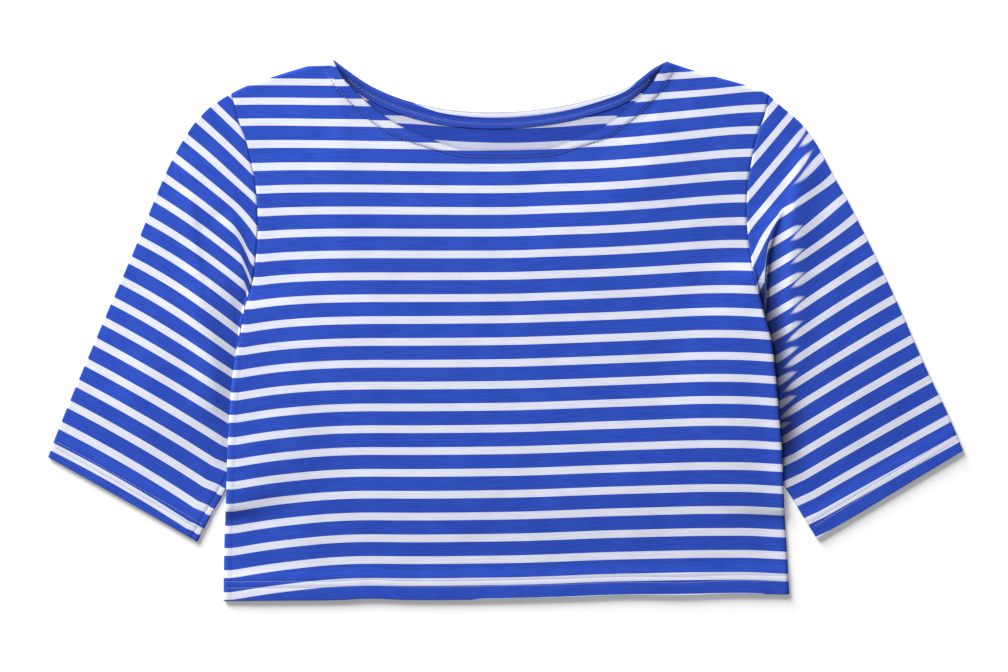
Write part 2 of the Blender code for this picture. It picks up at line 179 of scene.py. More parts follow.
# How far the sleeve is tucked in under the body's edge, from hem to shoulder
Tuck = namedtuple("Tuck", "y width")
LEFT_TUCK = [Tuck(-168, -34), Tuck(-139, 6), Tuck(-112, 18), Tuck(-86, 24), Tuck(-64, 22),
             Tuck(-43, 14), Tuck(-12, 4), Tuck(16, -16), Tuck(44, -34)]
RIGHT_TUCK = [Tuck(-168, -34), Tuck(-139, 6), Tuck(-110, 20), Tuck(-76, 26), Tuck(-44, 22),
              Tuck(-18, 14), Tuck(14, 4), Tuck(42, -16), Tuck(70, -34)]

# How far the stripes hang below level, across the panel, at four heights
Drop = namedtuple("Drop", "x hem chest shoulder collar")
DROP_HEIGHTS = {"hem": -218.0, "chest": 10.0, "shoulder": 175.0, "collar": 233.0}
FRONT_DROPS = [
    Drop(-243, 14.2, 10.0, -2, 2), Drop(-222, 10.5, 6.7, -2.8, 2), Drop(-205, 7.9, 4.0, -2.8, 2),
    Drop(-190, 6.0, 2.6, -2.8, 2), Drop(-175, 4.2, 1.5, -2.5, 2.2), Drop(-153, 2.0, 0.5, -2.2, 2.4),
    Drop(-135, 1.1, 0.2, -1.9, 1.5), Drop(-118, 0.75, -0.1, -1.7, 0.5), Drop(-74, 1.1, -0.2, -1.1, 0),
    Drop(0, 0.3, -0.8, -0.5, -1), Drop(39, -0.7, -1.9, -1.9, -2), Drop(82, -2.4, -3.4, -3.2, -3),
    Drop(126, -3.4, -5.2, -6.5, -3), Drop(169, -4.1, -7.2, -11.1, -5), Drop(195, -4.2, -7.2, -13.8, -8),
    Drop(213, -4.3, -6.6, -14.6, -11), Drop(243, -2.8, -4.4, -15, -12)]

# Soft creases: a line through three points, its height and its run to each side
Crease = namedtuple("Crease", "x0 y0 x1 y1 x2 y2 height near far")
FRONT_CREASES = [
    Crease(-190, -60, -176, -130, -182, -205, 0.35, 16, 26),
    Crease(-120, 60, -132, -20, -118, -120, 0.25, 22, 30),
    Crease(-30, -90, -44, -150, -36, -222, 0.3, 14, 24),
    Crease(40, 110, 60, 30, 52, -60, 0.23, 26, 20),
    Crease(96, -110, 110, -160, 104, -226, 0.28, 18, 16),
    Crease(170, 120, 158, 40, 172, -50, 0.3, 20, 28),
    Crease(196, -70, 186, -140, 192, -210, 0.35, 18, 22),
    Crease(-170, 170, -120, 120, -40, 100, 0.25, 18, 26),
    Crease(150, 180, 110, 128, 30, 108, 0.23, 16, 24),
    Crease(-214, 60, -190, 20, -150, 8, -0.3, 10, 16),
    Crease(210, 70, 188, 34, 150, 24, -0.3, 10, 16),
]


def smooth(share):
    """0 up to a share of 0, 1 from a share of 1, and eased between."""
    share = np.clip(share, 0.0, 1.0)
    return share * share * (3.0 - 2.0 * share)


def curve(points, shares=None):
    """The smooth line through the points: dense, or at the given shares of its length."""
    ends = np.array([points[0], *points, points[-1]], float)
    t = np.linspace(0, 1, 21)[:, None]
    spans = [0.5 * (2 * b + (c - a) * t + (2 * a - 5 * b + 4 * c - d) * t ** 2
                    + (3 * b - a - 3 * c + d) * t ** 3)
             for a, b, c, d in zip(ends, ends[1:], ends[2:], ends[3:])]
    dense = np.vstack([span[:-1] for span in spans] + [ends[-1:]])
    if shares is None:
        return dense
    run = np.concatenate([[0.0], np.cumsum(np.hypot(*np.diff(dense, axis=0).T))])
    return along_line(dense, run, np.asarray(shares) * run[-1])


def along_line(points, run, places):
    """Points of a line at places along its run."""
    return np.stack([np.interp(places, run, values) for values in points.T], axis=-1)


def length_of(points):
    """The length of the smooth line through the points."""
    return np.hypot(*np.diff(curve(points), axis=0).T).sum()


def column(rows, key, value, at):
    """A table's column as a smooth function of its key column."""
    dense = curve([(getattr(row, key), getattr(row, value)) for row in rows])
    return np.interp(at, dense[:, 0], dense[:, 1])


def patch(low, high, first, last, across, up):
    """Plan points between four edges: low and high run across, first and last run up."""
    s, t = np.asarray(across)[:, None, None], np.asarray(up)[None, :, None]
    edges = (1 - t) * low[:, None] + t * high[:, None] + (1 - s) * first[None] + s * last[None]
    corners = (1 - s) * ((1 - t) * low[0] + t * high[0]) + s * ((1 - t) * low[-1] + t * high[-1])
    return edges - corners


def respace(plan, start_steps, end_steps, cell=CELL):
    """Each column's points again, at set distances from its ends and evenly between them."""
    lengths = np.hypot(*np.moveaxis(np.diff(plan, axis=1), -1, 0))
    runs = np.concatenate([np.zeros((len(plan), 1)), np.cumsum(lengths, axis=1)], axis=1)
    count = int((runs[:, -1].max() - start_steps[-1] - end_steps[-1]) / cell)
    fresh = []
    for points, run in zip(plan, runs):
        ends = run[-1] - np.array(end_steps[::-1])
        between = np.linspace(start_steps[-1], ends[0], count + 2)[1:-1]
        places = np.concatenate([start_steps, between, ends])
        fresh.append(along_line(points, run, places))
    return np.array(fresh)


def from_end(plan, end):
    """Distance of a grid's points from an end of their column: 0 the first, -1 the last."""
    return np.hypot(*np.moveaxis(plan - plan[:, end][:, None], -1, 0))


def beside_way(line):
    """Unit vectors to the right of a line as it runs, which is into a panel from its neck."""
    ahead = np.gradient(line, axis=0)
    ahead /= np.hypot(*ahead.T)[:, None]
    return np.column_stack([ahead[:, 1], -ahead[:, 0]])


def distance_to(line, x, y, reach=40.0):
    """Distance from every point to a dense line, up to a reach."""
    gap = np.full(x.shape, reach)
    near = ((x > line[:, 0].min() - reach) & (x < line[:, 0].max() + reach)
            & (y > line[:, 1].min() - reach) & (y < line[:, 1].max() + reach))
    px, py = x[near][:, None], y[near][:, None]
    gap[near] = np.minimum(np.sqrt(((px - line[:, 0]) ** 2 + (py - line[:, 1]) ** 2).min(axis=1)), reach)
    return gap


def beside(line, x, y):
    """Distance to the right of a line, share of the way along it, and distance past its ends."""
    shape = x.shape
    px, py = x.reshape(-1, 1), y.reshape(-1, 1)
    nearest = ((px - line[:, 0]) ** 2 + (py - line[:, 1]) ** 2).argmin(axis=1)
    index = np.clip(nearest, 1, len(line) - 2)
    ahead = line[index + 1] - line[index - 1]
    ahead /= np.hypot(*ahead.T)[:, None]
    dx, dy = px[:, 0] - line[nearest, 0], py[:, 0] - line[nearest, 1]
    side = dx * ahead[:, 1] - dy * ahead[:, 0]
    past = np.abs(dx * ahead[:, 0] + dy * ahead[:, 1])
    share = nearest / (len(line) - 1)
    return side.reshape(shape), share.reshape(shape), past.reshape(shape)


def creased(creases, x, y):
    """Height that soft creases add; each fades out towards its ends."""
    total = np.zeros(x.shape)
    for crease in creases:
        line = curve([(crease.x0, crease.y0), (crease.x1, crease.y1), (crease.x2, crease.y2)])
        side, share, past = beside(line, x, y)
        run = np.where(side < 0, crease.near, crease.far)
        ends = smooth(share * CREASE_ENDS) * smooth((1 - share) * CREASE_ENDS)
        total += crease.height * np.exp(-(side / run) ** 2) * ends * np.exp(-(past / crease.near) ** 2)
    return total


def rippled(x, y, size, height):
    """Slight unevenness of cloth that was smoothed out by hand."""
    return height * (np.sin(x / size + 1.3 * np.sin(y / size * 0.61)) * np.cos(y / size * 0.83 + 0.7)
                     + 0.6 * np.sin(x / size * 1.9 - y / size * 1.3 + 2.1) * np.cos(x / size * 0.47))


LEFT_SIDE = np.vstack([curve(LEFT_EDGE), curve(LEFT_ARMHOLE)[1:]])
RIGHT_SIDE = np.vstack([curve(RIGHT_EDGE), curve(RIGHT_ARMHOLE)[1:]])


def from_sides(x, y):
    """Distance in from the left and from the right side of the body."""
    return (x - np.interp(y, LEFT_SIDE[:, 1], LEFT_SIDE[:, 0]),
            np.interp(y, RIGHT_SIDE[:, 1], RIGHT_SIDE[:, 0]) - x)


def body_lift(x, y):
    """Height at which the body lies over the sleeves tucked under its sides."""
    left, right = from_sides(x, y)
    lifts = []
    for tucks, inward in ((LEFT_TUCK, left), (RIGHT_TUCK, right)):
        width = np.interp(y, [tuck.y for tuck in tucks], [tuck.width for tuck in tucks])
        lifts.append(TUCK_LIFT * smooth((width + TUCK_MARGIN + TUCK_RAMP - inward) / TUCK_RAMP)
                     * smooth((width - NO_TUCK) / TUCK_ONSET))
    return np.maximum(*lifts)


def body_plan(neck_line):
    """Plan grid of a body panel: across from left to right, and up from the hem."""
    neck_cells = int(length_of(neck_line) / CELL)
    shoulders = []
    for shoulder in (LEFT_SHOULDER, RIGHT_SHOULDER):
        run = length_of(shoulder)
        places = np.concatenate([SHOULDER_STEPS[:-1], np.linspace(SHOULDER_STEPS[-1], run, int(run / CELL))])
        shoulders.append(curve(shoulder, places / run))
    top = np.vstack([shoulders[0], curve(neck_line, np.linspace(0, 1, neck_cells + 1))[1:-1],
                     shoulders[1][::-1]])
    across = (top[:, 0] - LEFT_TIP[0]) / (RIGHT_TIP[0] - LEFT_TIP[0])
    hem = curve(HEM_LINE)
    hem_x = LEFT_HEM[0] + across * (RIGHT_HEM[0] - LEFT_HEM[0])
    low = np.stack([hem_x, np.interp(hem_x, hem[:, 0], hem[:, 1])], axis=-1)
    shares = np.linspace(0, 1, SIDE_ROWS)
    sides = [np.vstack([curve(edge, shares), curve(armhole, shares)[1:]])
             for edge, armhole in ((LEFT_EDGE, LEFT_ARMHOLE), (RIGHT_EDGE, RIGHT_ARMHOLE))]
    up = (sides[0][:, 1] - LEFT_HEM[1]) / (LEFT_TIP[1] - LEFT_HEM[1])
    return respace(patch(low, top, sides[0], sides[1], across, up), HEM_STEPS, TOP_STEPS)


def thickness(from_hem, depth=HEM_DEPTH, rows=HEM_ROWS):
    """The cloth's thickness with its turned-up ply: whole, and at its sunk rows of stitching."""
    whole = JERSEY + HEM_PLY * (1 - smooth((from_hem - depth) / HEM_FADE))
    dips = sum(STITCH_DIP * np.exp(-((from_hem - row) / STITCH_DIP_RUN) ** 2) for row in rows)
    return whole, whole - dips


def above_armpit(x, y):
    """Height above the armpit of the same side."""
    return y - np.where(x < 0, LEFT_ARMPIT[1], RIGHT_ARMPIT[1])


def edge_turn(x, y, from_top, in_neck):
    """How far a panel's outer face has turned towards the other panel: 0 flat, 1 at the edge."""
    turn, top = (1 - np.sqrt(np.clip(1 - np.clip(1 - gap / EDGE_ROLL, 0, 1) ** 2, 0, 1))
                 for gap in (np.minimum(*from_sides(x, y)), from_top))
    closed = 1 - smooth(above_armpit(x, y) / ARMPIT_RUN)
    return np.maximum(turn * closed, np.where(in_neck, 0.0, top))


def seam_ditch(x, y):
    """How far the cloth dips into the armhole seams."""
    ditch = SEAM_DITCH * (1 - smooth(np.minimum(*from_sides(x, y)) / SEAM_DITCH_RUN))
    return ditch * smooth(above_armpit(x, y) / ARMPIT_RUN + 0.5)


def body_stripes(x, y, drops):
    """Height up the cloth from the lowest white stripe, with the stripes' hang."""
    left = from_sides(x, y)[0]
    seen_x = np.maximum(x, x - left + SIDE_SEAM_IN)
    level = np.interp(y, list(DROP_HEIGHTS.values()), range(len(DROP_HEIGHTS)))
    drop = sum(share * column(drops, "x", height, seen_x + shift) * np.clip(1 - np.abs(level - number), 0, 1)
               for number, height in enumerate(DROP_HEIGHTS) for shift, share in DROP_BLEND)
    pull = YOKE_PULL * np.exp(-((y - YOKE_HEIGHT) / YOKE_RUN) ** 2)
    pull *= smooth((np.abs(x) - YOKE_FROM) / YOKE_FADE)
    return y - FIRST_WHITE + drop - pull


def ring_round(count, rows):
    """Grid places round the border of a grid, anticlockwise seen from above."""
    return ([(i, 0) for i in range(count)] + [(count - 1, j) for j in range(1, rows)]
            + [(i, rows - 1) for i in range(count - 2, -1, -1)] + [(0, j) for j in range(rows - 2, 0, -1)])


RIM_ANGLES, RIM_SHARE = np.radians([50.0, 0.0, -50.0]), 0.8     # the cut edges are rounded


def finish_piece(name, points, faces, layers, material):
    """A mesh object from points in millimetres, with named two-column maps of the cloth."""
    mesh = bpy.data.meshes.new(name)
    mesh.from_pydata((np.asarray(points) * MM).tolist(), [], faces)
    corners = np.empty(len(mesh.loops), dtype=np.int32)
    mesh.loops.foreach_get("vertex_index", corners)
    for layer, values in layers.items():
        uv_map = mesh.uv_layers.new(name=layer)
        uv_map.data.foreach_set("uv", np.asarray(values, dtype=np.float32)[corners].ravel())
    mesh.shade_smooth()
    mesh.materials.append(material)
    piece = bpy.data.objects.new(name, mesh)
    bpy.context.collection.objects.link(piece)
    return piece


def cloth_panel(name, plan, under, over, cloth, depth, material, inside_up=None):
    """A closed thin panel: two faces and a rounded rim. Its inside is its lower face, or
    the given shares of its upper one; both are mapped, with the painted shade of folds and seams."""
    count, rows = plan.shape[:2]
    lower = count * rows
    index = np.arange(lower).reshape(count, rows)
    flat = plan.reshape(-1, 2)
    points = [np.column_stack([flat, height.ravel()]) for height in (over, under)]
    a, b = index[:-1, :-1].ravel(), index[1:, :-1].ravel()
    c, d = index[1:, 1:].ravel(), index[:-1, 1:].ravel()
    faces = np.column_stack([a, b, c, d]).tolist() + (np.column_stack([a, d, c, b]) + lower).tolist()
    ring = np.array([index[place] for place in ring_round(count, rows)])
    ring_plan = flat[ring]
    ahead = np.roll(ring_plan, -1, axis=0) - np.roll(ring_plan, 1, axis=0)
    ahead /= np.maximum(np.hypot(*ahead.T), 1e-9)[:, None]
    outward = np.column_stack([ahead[:, 1], -ahead[:, 0]])
    high, low = over.ravel()[ring], under.ravel()[ring]
    radius = (high - low) / 2
    rings = [ring]
    for step, angle in enumerate(RIM_ANGLES):
        reach = (radius * np.cos(angle) * RIM_SHARE)[:, None]
        points.append(np.column_stack([ring_plan + outward * reach,
                                       (high + low) / 2 + radius * np.sin(angle)]))
        rings.append(2 * lower + step * len(ring) + np.arange(len(ring)))
    rings.append(ring + lower)
    for above, below in zip(rings, rings[1:]):
        faces += np.column_stack([above, below, np.roll(below, -1), np.roll(above, -1)]).tolist()
    values = np.column_stack([part.ravel() for part in cloth])
    places = np.vstack([values, values] + [values[ring]] * len(RIM_ANGLES))
    inside_and_shade = np.zeros(places.shape)
    if inside_up is None:
        inside_and_shade[lower:2 * lower, 0] = 1.0
    else:
        inside_and_shade[:lower, 0] = inside_up.ravel()
    # painted shade of folds and seams, on the upper face and carried round the rim
    inside_and_shade[:lower, 1] = depth.ravel()
    inside_and_shade[2 * lower:, 1] = np.tile(depth.ravel()[ring], len(RIM_ANGLES))
    return finish_piece(name, np.vstack(points), faces, {"cloth": places, "inside and shade": inside_and_shade}, material)


class Wire:
    """A socket in a material; arithmetic on wires adds Math nodes."""

    def __init__(self, socket):
        self.socket = socket
        self.tree = socket.id_data

    def node(self, kind, settings=None, values=None, output=0):
        """Any node: its settings are set first, then its sockets, by name or number."""
        node = self.tree.nodes.new("ShaderNode" + kind)
        for name, value in (settings or {}).items():
            setattr(node, name, value)
        for name, value in (values or {}).items():
            if isinstance(value, Wire):
                self.tree.links.new(value.socket, node.inputs[name])
            else:
                node.inputs[name].default_value = value
        return Wire(node.outputs[output])

    def maths(self, operation, *others):
        return self.node("Math", {"operation": operation}, dict(enumerate((self, *others))))

    def __add__(self, other):
        return self.maths("ADD", other)

    def __sub__(self, other):
        return self.maths("SUBTRACT", other)

    def __rsub__(self, other):
        return self.node("Math", {"operation": "SUBTRACT"}, {0: other, 1: self})

    def __mul__(self, other):
        return self.maths("MULTIPLY", other)

    def __truediv__(self, other):
        return self.maths("DIVIDE", other)

    def __rtruediv__(self, other):
        return self.node("Math", {"operation": "DIVIDE"}, {0: other, 1: self})

    def __abs__(self):
        return self.maths("ABSOLUTE")

    __radd__, __rmul__ = __add__, __mul__

    def fade(self, start, end):
        """0 at start and 1 at end, easing at both."""
        return self.node("MapRange", {"interpolation_type": "SMOOTHSTEP"},
                         {"Value": self, "From Min": start, "From Max": end})

    def mixed(self, first, second):
        """A colour between two, by this wire as the share of the second."""
        return self.node("Mix", {"data_type": "RGBA"}, {"Factor": self, 6: first, 7: second}, output=2)

    def shaded(self, share, tone):
        """This colour, multiplied by a tone where the share is 1."""
        shade = share.mixed((1.0, 1.0, 1.0, 1.0), tone)
        return self.node("Mix", {"data_type": "RGBA", "blend_type": "MULTIPLY"},
                         {"Factor": 1.0, 6: self, 7: shade}, output=2)

    def into(self, shader, name):
        self.tree.links.new(self.socket, shader.inputs[name])


CLOTH_GLOSS, SHEEN_ROUGHNESS = 0.15, 0.55


def start_material(name, roughness, sheen):
    """A material, its shader, and a wire of the shader from which other nodes are made."""
    material = bpy.data.materials.new(name)
    material.use_nodes = True
    shader = material.node_tree.nodes["Principled BSDF"]
    shader.inputs["Roughness"].default_value = roughness
    shader.inputs["Specular IOR Level"].default_value = CLOTH_GLOSS
    shader.inputs["Sheen Weight"].default_value = sheen
    shader.inputs["Sheen Roughness"].default_value = SHEEN_ROUGHNESS
    return material, shader, Wire(shader.outputs[0])


def cloth_map(start, layer):
    """The two columns of a map of the cloth, and the map itself, as wires."""
    place = start.node("UVMap", {"uv_map": layer})
    first = place.node("SeparateXYZ", values={0: place})
    return first, Wire(first.socket.node.outputs[1]), place


WALE, COURSE = 1.05, 0.86        # a column and a row of knitted loops
LOOP_LEAN, LOOP_STEP = 0.55, 0.35           # how far loops lean, and how far they step a stripe's edge
BLUE = (0.024, 0.077, 0.485, 1.0)
DEEP_BLUE = (0.013, 0.048, 0.366, 1.0)
WHITE = (0.705, 0.718, 0.838, 1.0)
GREYED_WHITE = (0.590, 0.603, 0.712, 1.0)
INSIDE_AND_SHADE_TONE = (0.74, 0.74, 0.814, 1.0)      # the knit's inside is this much darker, and the tone also paints the shade in the neck opening
PAINTED_SHADE_TONE = (0.11, 0.11, 0.165, 1.0)      # and the painted shade of cloth deep in a fold or a seam this dark
ROW_GROUP = 2.5                  # faint bands a few rows of loops wide
JERSEY_ROUGHNESS, JERSEY_SHEEN = 0.88, 0.04
BUMP_STRENGTH, LOOP_HEIGHT = 0.5, 0.12 * MM


def stripes_at(along, across, width=WHITE_STRIPE, softness=1.0):
    """1 on a white stripe and 0 on blue, with edges that step from loop to loop."""
    loops = abs((across / WALE).maths("FRACT") - 0.5)
    places = (along + loops * LOOP_STEP) / STRIPE_PITCH + 0.5
    off_middle = abs(places.maths("FRACT") - 0.5) * STRIPE_PITCH
    return 1 - ((off_middle - width / 2) / softness).fade(-0.12, 0.28)


def knit_height(along, across):
    """Relief of the knit: columns of loops that lean in from both sides."""
    lean = abs((across / WALE).maths("FRACT") - 0.5) * 2
    row = ((along / COURSE + lean * LOOP_LEAN) * (2 * pi)).maths("SINE")
    return (1 - lean * lean) * 0.6 + row * 0.4


def jersey(name, white_of):
    """Striped jersey; white_of gives the share of white from the cloth's maps."""
    material, shader, start = start_material(name, JERSEY_ROUGHNESS, JERSEY_SHEEN)
    across, along, place = cloth_map(start, "cloth")
    white = white_of(start, along, across)
    broad = place.node("TexNoise", {}, {"Vector": place, "Scale": 0.035, "Detail": 3.0})
    slub_place = place.node("VectorMath", {"operation": "MULTIPLY"}, {0: place, 1: (0.045, 0.9, 1.0)})
    slub = place.node("TexNoise", {}, {"Vector": slub_place, "Scale": 1.0, "Detail": 2.0})
    fine = place.node("TexNoise", {}, {"Vector": place, "Scale": 1.4, "Detail": 2.0})
    rows = (along * (2 * pi / ROW_GROUP) + fine * 3).maths("SINE")
    tone = (broad * 0.45 + slub * 0.75 + fine * 0.5 + rows * 0.05).fade(0.55, 1.15)
    colour = white.mixed(tone.mixed(DEEP_BLUE, BLUE), tone.mixed(GREYED_WHITE, WHITE))
    # the second map carries the inside's share and the painted shade of folds, seams and shadows
    inside_and_shade, painted_shade, _ = cloth_map(start, "inside and shade")
    colour.shaded(inside_and_shade, INSIDE_AND_SHADE_TONE).shaded(painted_shade, PAINTED_SHADE_TONE).into(shader, "Base Color")
    relief = knit_height(along, across) * 0.6 + slub * 0.8 + fine * 0.35
    bump = place.node("Bump", {}, {"Strength": BUMP_STRENGTH, "Distance": LOOP_HEIGHT, "Height": relief})
    bump.into(shader, "Normal")
    return material


def plain_stripes(start, along, across):
    """The stripes of a piece without a fold."""
    return stripes_at(along, across)


striped = jersey("striped jersey", plain_stripes)

NECK_PLY, NECK_PLY_RUN = 0.4, 1.6                # extra height of the turned neck edge
NECK_GROOVE, NECK_GROOVE_RUN = 0.45, 1.0         # and the dip of its topstitching
NECK_EASE, NECK_EASE_RUN = 0.8, 3.0              # the turned edge eases its stripes up a little
NECK_BAND, NECK_BAND_MORE = 5.6, 4.0             # its width at the middle, and what the sides add
SIDE_PUFF, SIDE_PUFF_RUN = (0.3, 0.8), 9.0       # fullness of the left and right side folds
CORNER_RISE, CORNER_RUN = 1.4, 42.0              # the neck stands up a little at its corners
THREAD, THREAD_SIDES = 0.25, 5                   # a thread's radius, and the sides of its mesh
STITCH, STITCH_GAP, TOPSTITCH = 1.75, 0.6, 2.6
STITCH_SHAPE = ((0.0, -0.28, 0.35), (0.12, 0.02, 0.9), (0.5, 0.14, 1.0), (0.88, 0.02, 0.9),
                (1.0, -0.28, 0.35))      # share along a stitch, rise and width
UNDERSIDE_SINK = 0.25            # stitches against the board are pressed into the cloth
THREAD_ROUGHNESS, THREAD_SHEEN, THREAD_TWIST, THREAD_DARK = 0.6, 0.1, 3500.0, 0.75


def neck_band_width(x):
    """The turned edge is narrow at the middle of the neck and wider up its sides."""
    return NECK_BAND + NECK_BAND_MORE * smooth((np.abs(x + 5) - 25) / 80)


def corner_rise(x, from_edge, run):
    """Height gained beside the neck's corners, where front and back are seamed together."""
    to_corner = np.minimum(np.abs(x - LEFT_NECK[0]), np.abs(x - RIGHT_NECK[0]))
    return CORNER_RISE * smooth(1 - to_corner / CORNER_RUN) * (1 - smooth(from_edge / run))


def surface(plan, height, points, near=4):
    """Heights of a grid's surface at plan points, from its nearest grid points."""
    tree = KDTree(height.size)
    for number, (x, y) in enumerate(plan.reshape(-1, 2)):
        tree.insert((x, y, 0), number)
    tree.balance()
    found = []
    for x, y in points:
        close = tree.find_n((x, y, 0), near)
        weights = np.array([1 / (gap + 0.05) for _, _, gap in close])
        found.append(float(weights @ height.ravel()[[number for _, number, _ in close]] / weights.sum()))
    return np.array(found)


def spaced(points, step):
    """A three-dimensional line's points again, evenly spaced."""
    run = np.concatenate([[0.0], np.cumsum(np.linalg.norm(np.diff(points, axis=0), axis=1))])
    places = np.arange(step / 2, run[-1], step)
    return along_line(points, run, places)


def stitches(name, rows, material, stitch=STITCH, gap=STITCH_GAP):
    """Joined threads along lines of points: each a bead that dives in at its ends."""
    points, faces = [], []
    turns = np.linspace(0, 2 * pi, THREAD_SIDES, endpoint=False)
    for row, side in rows:
        line = spaced(np.asarray(row), (stitch + gap) / 2)
        sink = UNDERSIDE_SINK if side < 0 else 0.0
        for start, end in zip(line[:-1:2], line[1::2]):
            way = (end - start) / max(np.linalg.norm(end - start), 1e-6)
            start, end = (start + end - way * stitch) / 2, (start + end + way * stitch) / 2
            across = np.cross(way, (0, 0, 1))
            upward = np.array((0, 0, side))
            first = len(points)
            for share, rise, scale in STITCH_SHAPE:
                center = start + (end - start) * share + upward * (rise - sink)
                for turn in turns:
                    points.append(center + (across * cos(turn) + upward * sin(turn)) * THREAD * scale)
            last = first + (len(STITCH_SHAPE) - 1) * THREAD_SIDES
            for ring in range(first, last, THREAD_SIDES):
                for turn in range(THREAD_SIDES):
                    a, b = ring + turn, ring + (turn + 1) % THREAD_SIDES
                    faces.append((a, b, b + THREAD_SIDES, a + THREAD_SIDES)[::side])
            faces.append(tuple(range(first, first + THREAD_SIDES))[::-side])
            faces.append(tuple(range(last, last + THREAD_SIDES))[::side])
    piece = finish_piece(name, points, faces, {}, material)
    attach(piece, "root")
    return piece


def thread_material(name, colour):
    """Twisted thread, a little darker where its plies meet."""
    material, shader, start = start_material(name, THREAD_ROUGHNESS, THREAD_SHEEN)
    place = start.node("TexCoord", output="Object")
    twist = place.node("TexNoise", {}, {"Vector": place, "Scale": THREAD_TWIST, "Detail": 1.0})
    dark = tuple(part * THREAD_DARK for part in colour[:3]) + (1.0,)
    twist.fade(0.35, 0.65).mixed(dark, colour).into(shader, "Base Color")
    return material


hem_thread = thread_material("pale blue thread", (0.30, 0.37, 0.74, 1.0))
neck_cotton = thread_material("mid blue thread", (0.13, 0.20, 0.62, 1.0))


def hem_stitches(name, plan, faces):
    """Rows of stitching along a turned-up edge, on each of its given faces."""
    rows = [(np.column_stack([plan[3:-3, number], height[3:-3, number]]), side)
            for height, side, numbers in faces for number in numbers]
    return stitches(name, rows, hem_thread)


def in_neck(x):
    """Whether a place is between the neck's corners."""
    return (x > LEFT_NECK[0] + 0.5) & (x < RIGHT_NECK[0] - 0.5)


front_plan = body_plan(FRONT_NECK)
fx, fy = front_plan[..., 0], front_plan[..., 1]
from_hem, from_top = from_end(front_plan, 0), from_end(front_plan, -1)
from_neck = distance_to(curve(FRONT_NECK), fx, fy)
from_band = from_neck - neck_band_width(fx)
left_in, right_in = from_sides(fx, fy)
sides = np.minimum(left_in, right_in)
above = above_armpit(fx, fy)

neck_rise = NECK_PLY * (1 - smooth(from_band / NECK_PLY_RUN))
neck_rise -= NECK_GROOVE * np.exp(-(from_band / NECK_GROOVE_RUN) ** 2)
air = (BODY_AIR * smooth(sides / BODY_AIR_RUN) * smooth(from_hem / BODY_AIR_RUN)
       * smooth(from_top / BODY_AIR_RUN))
air += HEM_AIR * np.exp(-(from_hem / HEM_AIR_RUN) ** 2) * smooth(sides / FLAT_EDGE)
softness = creased(FRONT_CREASES, fx, fy) + rippled(fx, fy, 26.0, 0.10)
softness *= smooth(sides / FLAT_EDGE) * smooth(from_top / FLAT_EDGE)
puff = sum(full * np.exp(-((gap - EDGE_ROLL) / SIDE_PUFF_RUN) ** 2)
           for full, gap in zip(SIDE_PUFF, (left_in, right_in))) * (1 - smooth((above + 6) / 24))
front_thick = thickness(from_hem)[1]
seam_height = body_lift(fx, fy) + front_thick + PLIES_APART / 2 + corner_rise(fx, from_neck, 16.0)
front_under = seam_height + PLIES_APART / 2 + air + softness + puff
front_over = front_under + front_thick + neck_rise
turn, ditch = edge_turn(fx, fy, from_top, in_neck(fx)), seam_ditch(fx, fy)
front_over += (seam_height + OUTER_MEET - front_over) * turn - ditch
front_under += (seam_height + INNER_MEET - front_under) * turn - ditch * 0.5
side_seam = np.exp(-((left_in - SIDE_SEAM_IN) / SIDE_SEAM_RUN) ** 2) * (1 - smooth((above + 12) / 16))
front_over -= SIDE_SEAM_DIP * side_seam

front_along = body_stripes(fx, fy, FRONT_DROPS)
front_along += NECK_EASE * (1 - smooth(from_band / NECK_EASE_RUN + 0.5)) * in_neck(fx)
front_along -= np.interp(fx, *zip(*HEM_PEEK)) * np.exp(-(from_hem / 1.2) ** 2)
# painted shade along the armhole and side seams, at the neck's rim and beside its topstitching
armhole_shade = 0.34 * np.exp(-(sides / 0.7) ** 2) * smooth((above + 4) / 10)
neck_shade = 0.6 * np.exp(-(from_top / 0.7) ** 2) + 0.5 * np.exp(-((from_band - 0.5) / 0.7) ** 2)
front_shade = np.maximum(np.maximum(armhole_shade, neck_shade * in_neck(fx)), 0.14 * side_seam)
front = cloth_panel("front", front_plan, front_under, front_over, (fx, front_along), front_shade, striped)
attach(front, "root")
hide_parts("front_panel")

hem_rows = [HEM_STEPS.index(row) for row in HEM_ROWS]
front_hem_thread = hem_stitches("front_hem_stitches", front_plan, [(front_over, 1, hem_rows)])
neck_line = curve(FRONT_NECK)[6:-6]
topstitch_line = neck_line + beside_way(neck_line) * neck_band_width(neck_line[:, 0])[:, None]
topstitch_line = np.column_stack([topstitch_line, surface(front_plan, front_over, topstitch_line)])
neck_thread = stitches("neck_topstitches", [(topstitch_line, 1)], neck_cotton, TOPSTITCH)


# ---- Back panel ------------------------------------------------------------------------------
# The same jersey, cut with a higher neck. It lies on the board, rises over the tucked
# sleeves, and shows its inside in the neck, where its edge is rolled over and sewn.

BACK_NECK = [LEFT_NECK, (-134.4, 223.6), (-117, 212.3), (-94.4, 202.4), (-72.6, 196.2), (-50.9, 192.0),
             (-23.1, 189.8), (2.2, 189.9), (26.5, 191.8), (50.9, 195.4), (75.3, 201), (99.6, 208),
             (114.4, 216.4), (128, 227), RIGHT_NECK]
BACK_DROPS = [
    Drop(-243, 12, 9, -1, -1), Drop(-205, 6.5, 4, -2, -2), Drop(-153, 1.5, 0.5, -4.5, -5),
    Drop(-92, 0.6, 0.2, -4.8, -5.3), Drop(-45, 0.2, 0.1, -1.6, -1.8), Drop(0, 0, 0, 0, 0),
    Drop(45, -0.6, -0.6, -1.6, -1.7), Drop(92, -2.4, -2.4, -4.8, -5), Drop(140, -3.6, -4.6, -5.2, -5.3),
    Drop(195, -4.4, -6.2, -10, -10), Drop(243, -2.8, -4.4, -12, -12)]
ROLLED_EDGE, ROLLED_PLY = 4.4, 0.5   # the edge rolled over at the back neck shows a white stripe
ROLLED_FROM, ROLLED_TO = -100.0, 130.0

